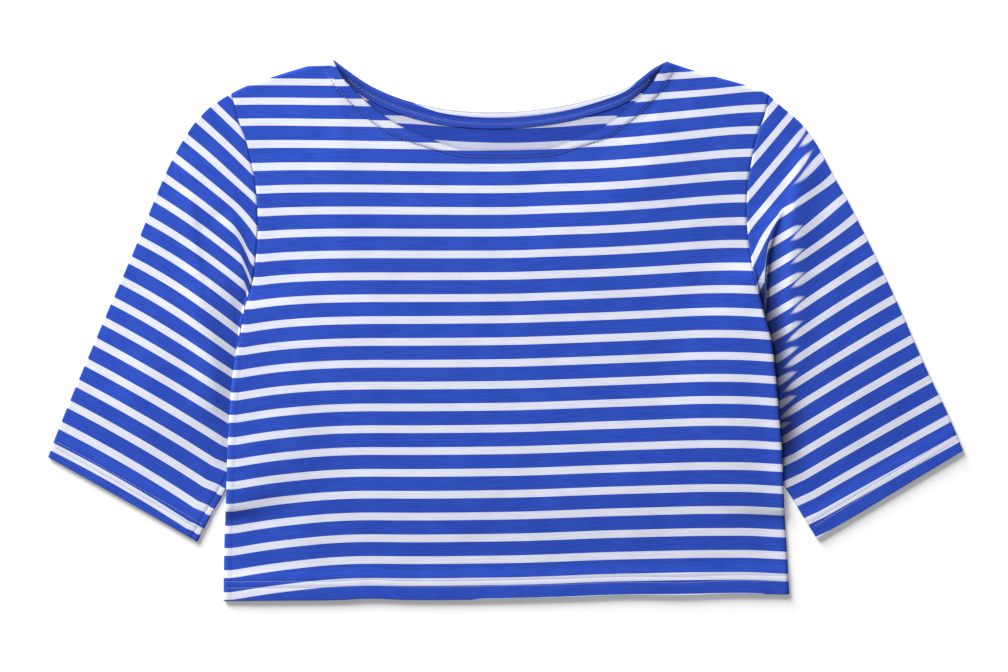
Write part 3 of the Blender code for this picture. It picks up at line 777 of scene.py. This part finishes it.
back_plan = body_plan(BACK_NECK)
bx, by = back_plan[..., 0], back_plan[..., 1]
back_from_top = from_end(back_plan, -1)
from_back_neck = distance_to(curve(BACK_NECK), bx, by)
back_thick = thickness(from_end(back_plan, 0))[1]
back_under = body_lift(bx, by) + corner_rise(bx, from_back_neck, 9.0)
back_over = back_under + back_thick
seam_height = back_over + PLIES_APART / 2
rolled = (1 - smooth((from_back_neck - ROLLED_EDGE) / 0.8)) * in_neck(bx)
back_over += ROLLED_PLY * rolled * smooth(from_back_neck / 1.2)
back_turn = edge_turn(bx, by, back_from_top, in_neck(bx))
back_under += (seam_height - OUTER_MEET - back_under) * back_turn
back_over += (seam_height - INNER_MEET - back_over) * back_turn

back_along = body_stripes(bx, by, BACK_DROPS)
rolled_in = (ROLLED_EDGE + 1) * smooth((bx - ROLLED_FROM) / 60) * smooth((ROLLED_TO - bx) / 50) - 1
rolled_place = np.clip(from_back_neck - rolled_in + WHITE_STRIPE / 2, 0, STRIPE_PITCH / 2)
back_along = np.where(rolled > 0.5, rolled_place, back_along)
# painted shadow just inside the front's neck edge, and painted shade at the rolled edge's rim
shade_under_front = 0.45 * np.exp(-(distance_to(curve(FRONT_NECK), bx, by) / 1.3) ** 2)
back_shade = np.maximum(shade_under_front, 0.75 * np.exp(-(back_from_top / 0.8) ** 2) * in_neck(bx))
back = cloth_panel("back", back_plan, back_under, back_over, (bx, back_along), back_shade, striped,
                   inside_up=1 - rolled)
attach(back, "root")
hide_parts("back_panel")
back_hem_thread = hem_stitches("back_hem_stitches", back_plan, [(back_under, -1, hem_rows)])


# ---- Sleeves ---------------------------------------------------------------------------------
# Each is one piece of the same jersey, closed along the underarm and set into the armhole.
# It lies flat in two layers, its underarm tucked under the body, its cuff turned up and
# sewn in two rows. The cloth left over at the armpit lies in soft folds.

SLEEVE_AIR, SLEEVE_AIR_RUN = 1.4, 60.0
SLEEVE_SOFT_EDGE = 9.0           # creases fade out this near to the sleeve's own folds
CUFF_DEPTH, CUFF_ROWS = 17.2, (10.6, 15.6)
CUFF_STEPS = [0.0, 0.5, 1.2, 2.4, 4.2, 6.2, 8.2, 9.8, 10.6, 11.4, 12.8, 14.2, 14.9, 15.6, 16.3, 17.4, 19.0]
ARMHOLE_STEPS = [0.0, 0.4, 0.9, 1.5, 2.2, 3.2, 4.8]
FOLD_STEPS = [0.0, 0.8, 1.8, 3.2, 5.0]
SLEEVE_CELL, SLEEVE_ROWS = 2.0, 121
FOLD_PULL = 6.0                  # the layers draw in over this width to make room for the fold's round
FOLD_ANGLES = np.radians([60.0, 30.0, 0.0, -30.0, -60.0])
UNDERARM_SEAM_IN = 6.4           # the left sleeve's underarm seam shows, this far in from its edge
UNDERARM_SEAM_FROM = 60.0        # and this far below the armhole

# How much further up the cloth a place is than up the sleeve, at three depths from its edge
LEAD_DEPTHS, SLEEVE_WIDEST = (6.0, 50.0, 95.0), 135
Lead = namedtuple("Lead", "up near middle deep")
Sleeve = namedtuple("Sleeve", "name outer straight cuff underarm armhole creases leads")
LEFT_SLEEVE = Sleeve(
    name="left", straight=(-295.6, 139.0),
    outer=[LEFT_TIP, (-249, 200.5), (-262, 190.6), (-277, 172.4), (-296, 137.6), (-324, 69.6), (-354, 0),
           (-383.4, -70), (-399, -110.5)],
    cuff=[(-399, -110.5), (-335, -146.5), (-268.5, -184.5)],
    underarm=[(-234.6, -16.5), (-238.6, -40), (-226, -60), (-219.5, -84), (-227, -112), (-243.5, -139),
              (-256, -160.5), (-268.5, -184.5)],
    armhole=LEFT_ARMHOLE,
    creases=[Crease(-243, 104, -232, 72, -227, 18, 1.4, 4.5, 10),
             Crease(-262, 50, -257.5, -10, -256.5, -84, 1.5, 10, 14),
             Crease(-276, 126, -271.5, 84, -262, -16, 1.1, 5, 12),
             Crease(-330, 40, -322, -30, -310, -110, 0.5, 18, 22),
             Crease(-285, 160, -268, 120, -252, 96, 0.8, 10, 14)],
    leads=[Lead(5, -9.1, -5.0, 1.0), Lead(100, -13.2, -8.6, -2.4), Lead(150, -14.6, -9.2, 0.0),
           Lead(200, -15.7, -9.4, 2.2), Lead(240, -16.4, -7.2, 8.0), Lead(280, -17.6, -4.6, 13.0),
           Lead(305, -19.0, -4.3, 17.0), Lead(350, -21.5, -2.5, 20.0)])
RIGHT_SLEEVE = Sleeve(
    name="right", straight=(302.2, 104.6),
    outer=[RIGHT_TIP, (240, 195.6), (254.5, 183.4), (263.8, 173), (273.4, 158.4), (286.4, 134), (303, 104),
           (336.5, 35), (367.5, -35), (384.5, -70.5), (399, -105)],
    cuff=[(399, -105), (336, -143), (271.5, -182)],
    underarm=[(227, 9.5), (233.8, -16), (221, -40), (214, -74), (223, -110), (245, -139), (258, -160),
              (271.5, -182)],
    armhole=RIGHT_ARMHOLE,
    creases=[Crease(262, 166, 251, 92, 250, -6, 2.6, 16, 8), Crease(252, 30, 248, -36, 238, -98, 2.2, 14, 8),
             Crease(242, 108, 229.5, 70, 226.5, 2, 2.8, 2.2, 13),
             Crease(300, 90, 312, 20, 300, -70, 0.5, 18, 22), Crease(284, 120, 290, 60, 280, 0, 0.6, 10, 14)],
    leads=[Lead(5, -11.1, -8.0, -4.6), Lead(100, -11.9, -8.2, -3.2), Lead(150, -12.5, -7.6, -0.5),
           Lead(200, -13.8, -6.9, 1.0), Lead(234, -15.0, -4.2, 3.0), Lead(256, -16.4, -9.8, -5.0),
           Lead(271, -17.6, -5.0, 0.0), Lead(305, -20.8, -9.0, 0.0), Lead(345, -23.0, -9.0, 0.0)])
ARMPIT_RIDGE = [(-243, 108), (-236, 86), (-230.5, 64), (-227, 36), (-227, 16)]
ARMPIT_PULL, ARMPIT_PULL_RUN = 2.1, 7.0

# The right sleeve's folds: the edge of the cap's fold, and the long fold beside the body
CAP_EDGE = [(276, 190), (273, 150), (262, 129), (247, 119), (237, 98), (229.5, 79), (227, 60), (226.5, 20),
            (226.5, -12)]
POCKET_EDGE = [(259, 186), (262, 148), (256, 122), (252, 104), (254, 78), (254.5, 26), (252, 0),
               (248.5, -24), (247, -64), (240, -86)]
CAP_LAG, CAP_SLANT, CAP_LOW_SLANT, CAP_LOW = 29.5, 0.47, 0.35, 262
POCKET_LAG, POCKET_SLANT, POCKET_HIGH_SLANT, POCKET_HIGH = 9.8, 0.13, 0.3, 240
FOLD_REACH, FOLD_SOFTNESS = 8.5, 6.0     # the stripes of its two sides narrow to soft points past it


def edge_steps(length, steps, cell):
    """Shares across a span, with fine steps at its start and end."""
    steps = np.array(steps)
    inner = np.linspace(steps[-1], length - steps[-1], int((length - 2 * steps[-1]) / cell) + 1)
    return np.concatenate([steps[:-1], inner, length - steps[::-1][1:]]) / length


def lead_at(leads, up, inward):
    """A smooth reading of a sleeve's table of leads."""
    near, middle, deep = (column(leads, "up", name, up) for name in ("near", "middle", "deep"))
    first, second, third = LEAD_DEPTHS
    near_slope, deep_slope = (middle - near) / (second - first), (deep - middle) / (third - second)
    bend = (deep_slope - near_slope) / (third - first)
    inward = np.clip(inward, 0, SLEEVE_WIDEST)
    return near + near_slope * (inward - first) + bend * (inward - first) * (inward - second)


def sleeve_places(sleeve, x, y):
    """Distance up from the cuff's outer corner and in from the straight of the outer edge."""
    corner = np.array(sleeve.outer[-1])
    up = np.array(sleeve.straight) - corner
    up /= np.hypot(*up)
    inward = np.array([up[1], -up[0]]) * (1 if sleeve.name == "left" else -1)
    return ((x - corner[0]) * up[0] + (y - corner[1]) * up[1],
            (x - corner[0]) * inward[0] + (y - corner[1]) * inward[1])


def sleeve_stripes(sleeve, x, y):
    """Height up the cloth from the lowest white stripe, with the pull of the folds."""
    up, inward = sleeve_places(sleeve, x, y)
    along = up + lead_at(sleeve.leads, up, inward)
    if sleeve.name == "left":
        side, share, past = beside(curve(ARMPIT_RIDGE), x, y)
        pull = ARMPIT_PULL * np.clip(-side, 0, ARMPIT_PULL_RUN) * smooth(share * 1.3)
        return along + pull * np.exp(-(past / 10) ** 2)
    return along


def beyond_fold(x, y):
    """The right sleeve between its long fold and the body: its stripes, and how far past the
    fold. Two stretches of cloth meet there, the cap's and the pocket's beneath it."""
    up, inward = sleeve_places(RIGHT_SLEEVE, x, y)
    side_cap = beside(curve(CAP_EDGE), x, y)[0]
    side_pocket = beside(curve(POCKET_EDGE), x, y)[0]
    cap = up - CAP_LAG + CAP_SLANT * (inward - 6)
    cap += CAP_LOW_SLANT * (inward - 82) * smooth((CAP_LOW - up) / 30)
    pocket = up - POCKET_LAG + POCKET_SLANT * np.clip(side_pocket, 0, 40)
    pocket += smooth((up - POCKET_HIGH) / 16) * POCKET_HIGH_SLANT * np.clip(side_pocket - 14, 0, 20)
    along = pocket + (cap - pocket) * smooth(side_cap / 2.0 + 0.5)
    return along, side_pocket


def folded_stripes(start, along, across):
    """Stripes that jump where the long fold hides some of the cloth."""
    beyond, past, _ = cloth_map(start, "beyond the fold")
    softness = 1 + past.fade(-FOLD_REACH, 0) * past.fade(FOLD_REACH, 0) * FOLD_SOFTNESS
    near_share, far_share = past.fade(FOLD_REACH, -FOLD_REACH), past.fade(-FOLD_REACH, FOLD_REACH)
    near = stripes_at(along, across, near_share * WHITE_STRIPE, softness) * past.fade(FOLD_REACH, 0)
    far = stripes_at(beyond, across, far_share * WHITE_STRIPE, softness) * past.fade(-FOLD_REACH, 0)
    return near.maths("MAXIMUM", far)


folded = jersey("striped jersey with a fold", folded_stripes)


def sleeve_shade(sleeve, x, y):
    """Painted shade, 0 to 1: in the folds beside the body, darkest where the body's edge shades the right
    sleeve, and under the cap's fold edge.
    """
    left, right = from_sides(x, y)
    if sleeve.name == "left":
        beside_body = np.clip(-left, 0, 60)
        return 0.30 * np.exp(-(beside_body / 14.0) ** 2) * smooth((66 - y) / 40) * smooth((y + 150) / 50)
    beside_body = np.clip(-right, 0, 60)
    # painted shadow of the body's raised edge on the right sleeve
    depth = 0.97 * np.exp(-(beside_body / 15.0) ** 3) * smooth((52 - y) / 24) * smooth((y + 150) / 60)
    side_cap = beside(curve(CAP_EDGE), x, y)[0]
    shade_under_cap = np.exp(-(side_cap / np.where(side_cap < 0, 9.5, 0.8)) ** 2)
    return np.maximum(depth, 0.85 * shade_under_cap * smooth((92 - y) / 30) * smooth((y - 6) / 22))


def make_sleeve(sleeve):
    """The sleeve's tube, flattened: upper layer, folds at both edges, and lower layer."""
    armhole = curve(sleeve.armhole)[::-1]
    across = edge_steps(length_of(sleeve.armhole), FOLD_STEPS, SLEEVE_CELL)
    seam = curve([tuple(point) for point in armhole[::12]] + [tuple(armhole[-1])], across)
    shares = np.linspace(0, 1, SLEEVE_ROWS)
    under = curve(sleeve.underarm, shares)
    seam[-1] = under[0]
    plan = patch(seam, curve(sleeve.cuff, across), curve(sleeve.outer, shares), under, across, shares)
    plan = respace(plan, ARMHOLE_STEPS, CUFF_STEPS, SLEEVE_CELL)
    x, y = plan[..., 0], plan[..., 1]
    from_seam, from_cuff = from_end(plan, 0), from_end(plan, -1)
    edge, thick = thickness(from_cuff, CUFF_DEPTH, CUFF_ROWS)
    share = across[:, None]
    width = np.hypot(*(plan[-1] - plan[0]).T)
    from_folds = share * width[None], (1 - share) * width[None]
    fold_free = smooth(np.minimum(*from_folds) / SLEEVE_SOFT_EDGE)
    airy = (SLEEVE_AIR * smooth(from_cuff / SLEEVE_AIR_RUN - 0.3) * smooth(from_seam / SLEEVE_AIR_RUN)
            * np.sin(pi * np.clip(share / 0.8, 0, 1)) ** 2)
    soft = (creased(sleeve.creases, x, y) + rippled(x, y, 22.0, 0.14)) * fold_free * smooth(from_seam / 3)
    seam_rise = body_lift(x[:, :1], y[:, :1]) * (1 - smooth(from_seam / 9)) * fold_free
    ditch = SEAM_DITCH * (1 - smooth(from_seam / SEAM_DITCH_RUN))
    top_under = edge + PLIES_APART + airy + soft + seam_rise - ditch * 0.5
    top_over = top_under + thick - ditch * 0.5
    seam_in = from_folds[1] - UNDERARM_SEAM_IN
    seam_shows = smooth((from_seam - UNDERARM_SEAM_FROM) / 20) * (sleeve.name == "left")
    top_over -= 0.5 * np.exp(-(seam_in / 0.9) ** 2) * seam_shows

    radius = edge[[0, -1]] + PLIES_APART / 2
    ahead = (plan[-1] - plan[0]) / width[:, None]
    flat = plan.copy()
    for gap, sign, reach in zip(from_folds, (1, -1), radius):
        flat += sign * np.clip(1 - gap / FOLD_PULL, 0, 1)[..., None] * ahead[None] * reach[None, :, None]
    flat_x, flat_y = flat[..., 0], flat[..., 1]
    inward = sleeve_places(sleeve, flat_x, flat_y)[1]
    along = sleeve_stripes(sleeve, flat_x, flat_y)
    along += 0.9 * (1 - smooth((seam_in + 0.4) / 0.8 + 0.5)) * seam_shows
    # painted shade: the folds beside the body, the armhole seam and the left sleeve's underarm seam
    depth = np.maximum(sleeve_shade(sleeve, flat_x, flat_y), 0.35 * np.exp(-(from_seam / 0.7) ** 2))
    depth = np.maximum(depth, 0.5 * np.exp(-(seam_in / 0.6) ** 2) * seam_shows)

    def turned_edge(row, sign, inset):
        """Points round the fold at one side of the sleeve, from its upper to its lower layer."""
        middle_z = top_over[row] / 2
        reach = radius[0 if row == 0 else 1] - inset
        return [np.column_stack([flat[row] + sign * ahead * (reach * np.cos(angle))[:, None],
                                 middle_z + (middle_z - inset) * np.sin(angle)]) for angle in FOLD_ANGLES]

    def all_round(first, second):
        """Two columns of the upper layer's map carried round the whole tube."""
        upper_map = np.dstack([first, second])
        folds = [np.repeat(upper_map[row][None], len(FOLD_ANGLES), axis=0) for row in (-1, 0)]
        tube = np.concatenate([upper_map, folds[0], upper_map[::-1], folds[1]]).reshape(-1, 2)
        return np.concatenate([tube, tube])

    skins = []
    for inset, upper_z, lower_z in ((0.0, top_over, np.zeros(x.shape)), (JERSEY, top_under, edge)):
        upper = np.dstack([flat, upper_z])
        lower = np.dstack([flat, lower_z])[::-1]
        skins.append(np.concatenate([upper, np.array(turned_edge(-1, 1, inset)), lower,
                                     np.array(turned_edge(0, -1, inset))[::-1]]))
    around, rows = skins[0].shape[:2]
    index = np.arange(2 * around * rows).reshape(2, around, rows)
    faces = []
    for skin, order in ((0, 1), (1, -1)):
        here, after = index[skin], np.roll(index[skin], -1, axis=0)
        quads = np.stack([here[:, :-1], here[:, 1:], after[:, 1:], after[:, :-1]], axis=-1).reshape(-1, 4)
        faces += quads[:, ::order].tolist()
    for row, order in ((0, 1), (rows - 1, -1)):
        outer_ring, inner_ring = index[0][:, row], index[1][:, row]
        quads = np.column_stack([outer_ring, np.roll(outer_ring, -1), np.roll(inner_ring, -1), inner_ring])
        faces += quads[:, ::order].tolist()
    if sleeve.name == "right":
        faces = [face[::-1] for face in faces]
    # the painted shade rides in the second column; the lower layer gets less of it
    inside_and_shade = all_round(np.zeros(x.shape), depth)
    inside_and_shade[around * rows:] = (1.0, 0.0)
    inside_and_shade[(len(x) + len(FOLD_ANGLES)) * rows:around * rows, 1] *= 0.3     # the lower layer
    layers = {"cloth": all_round(inward, along), "inside and shade": inside_and_shade}
    if sleeve.name == "right":
        layers["beyond the fold"] = all_round(*beyond_fold(flat_x, flat_y))
    piece = finish_piece("sleeve_" + sleeve.name + "_cloth",
                         np.concatenate([skin.reshape(-1, 3) for skin in skins]), faces, layers,
                         folded if sleeve.name == "right" else striped)
    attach(piece, "root")
    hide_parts("sleeve_" + sleeve.name)
    numbers = [-1 - CUFF_STEPS.index(row) for row in CUFF_ROWS]
    thread = hem_stitches("sleeve_" + sleeve.name + "_stitches", flat,
                          [(top_over, 1, numbers), (np.zeros(x.shape), -1, numbers)])
    return piece, thread


left_sleeve, left_thread = make_sleeve(LEFT_SLEEVE)
right_sleeve, right_thread = make_sleeve(RIGHT_SLEEVE)


# ---- Neck tape -------------------------------------------------------------------------------
# A plain blue cotton tape sewn over the back neck seam, from shoulder to shoulder, with a
# zigzag of pale thread.

TapeRow = namedtuple("TapeRow", "share top low")      # distances in from the back neck edge
TAPE_ROWS = [TapeRow(0.02, 0.5, 3.0), TapeRow(0.09, 0.5, 9.6), TapeRow(0.18, 0.6, 11.6),
             TapeRow(0.25, 1.2, 12.6), TapeRow(0.34, 3.4, 13.4), TapeRow(0.5, 4.9, 14.0),
             TapeRow(0.66, 4.9, 13.6), TapeRow(0.78, 3.4, 12.6), TapeRow(0.88, 1.2, 9.8),
             TapeRow(0.93, 0.6, 8.0), TapeRow(0.98, 0.5, 3.0)]
TAPE_CELLS, TAPE_WIDTH, TAPE_THICK, TAPE_CLEAR = 170, 12.0, 0.5, 0.03
RIB = 0.9                        # one rib of the tape
TAPE_ROUGHNESS, TAPE_SHEEN, RIB_HEIGHT = 0.8, 0.08, 0.1 * MM
ZIGZAG_AT, ZIGZAG_STEP, ZIGZAG_WIDTH = 0.6, 1.25, 3.0
ZIGZAG_STITCH, ZIGZAG_GAP = 1.1, 0.9
tape_shares = np.linspace(TAPE_ROWS[0].share, TAPE_ROWS[-1].share, TAPE_CELLS)
tape_across = np.array([0.0, 0.04, 0.12, 0.25, 0.4, 0.55, 0.7, 0.85, 0.95, 1.0])
back_line = curve(BACK_NECK, tape_shares)
back_inward = beside_way(back_line)
tape_top = column(TAPE_ROWS, "share", "top", tape_shares)[:, None]
tape_low = column(TAPE_ROWS, "share", "low", tape_shares)[:, None]
tape_low_line = back_line + back_inward * tape_low
tape_top_line = back_line + back_inward * tape_top
tape_plan = tape_low_line[:, None] + (tape_top_line - tape_low_line)[:, None] * tape_across[None, :, None]
tape_rest = surface(back_plan, back_over, tape_plan.reshape(-1, 2)).reshape(tape_plan.shape[:2])
tape_under = tape_rest + TAPE_CLEAR
tape_over = tape_under + TAPE_THICK
tape_run, tape_along = np.meshgrid(tape_shares * length_of(BACK_NECK), tape_across * TAPE_WIDTH,
                                   indexing="ij")


def ribbed(name, colour, dark):
    """Narrow woven tape: fine ribs across it and a slight unevenness."""
    material, shader, start = start_material(name, TAPE_ROUGHNESS, TAPE_SHEEN)
    run, _, place = cloth_map(start, "cloth")
    rib = (run * (2 * pi / RIB)).maths("SINE")
    fine = place.node("TexNoise", {}, {"Vector": place, "Scale": 1.6, "Detail": 2.0})
    tone = (rib * 0.2 + fine).fade(0.2, 0.85).mixed(dark, colour)
    # painted shade on the tape, from the second map
    tone.shaded(cloth_map(start, "inside and shade")[1], PAINTED_SHADE_TONE).into(shader, "Base Color")
    relief = rib * 0.5 + fine
    bump = place.node("Bump", {}, {"Strength": BUMP_STRENGTH, "Distance": RIB_HEIGHT, "Height": relief})
    bump.into(shader, "Normal")
    return material


tape_cloth = ribbed("blue neck tape", (0.022, 0.072, 0.46, 1.0), (0.011, 0.042, 0.34, 1.0))
to_corner = np.minimum(tape_plan[..., 0] - LEFT_NECK[0], RIGHT_NECK[0] - tape_plan[..., 0])
# painted shade on the tape near the neck's corners and along its lower edge
tape_shade = 0.75 * smooth(1.1 - tape_across[None]) * smooth(1 - to_corner / 55)
tape_shade = np.maximum(tape_shade, 0.25 * np.exp(-(tape_across[None] / 0.06) ** 2))
tape = cloth_panel("tape", tape_plan, tape_under, tape_over, (tape_run, tape_along), tape_shade, tape_cloth)
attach(tape, "root")
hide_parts("neck_tape")

zigzag_line = tape_low_line + (tape_top_line - tape_low_line) * (1 - ZIGZAG_AT)
zigzag_z = surface(tape_plan, tape_over, zigzag_line)
zigzag_points = spaced(np.column_stack([zigzag_line, zigzag_z])[8:-8], ZIGZAG_STEP)
swing = (np.arange(len(zigzag_points)) % 2 - 0.5)[:, None] * ZIGZAG_WIDTH
zigzag_points[:, :2] += beside_way(zigzag_points[:, :2]) * swing
tape_rows = [(np.array([start, end]), 1) for start, end in zip(zigzag_points, zigzag_points[1:])]
tape_thread = stitches("tape_stitches", tape_rows, hem_thread, ZIGZAG_STITCH, ZIGZAG_GAP)
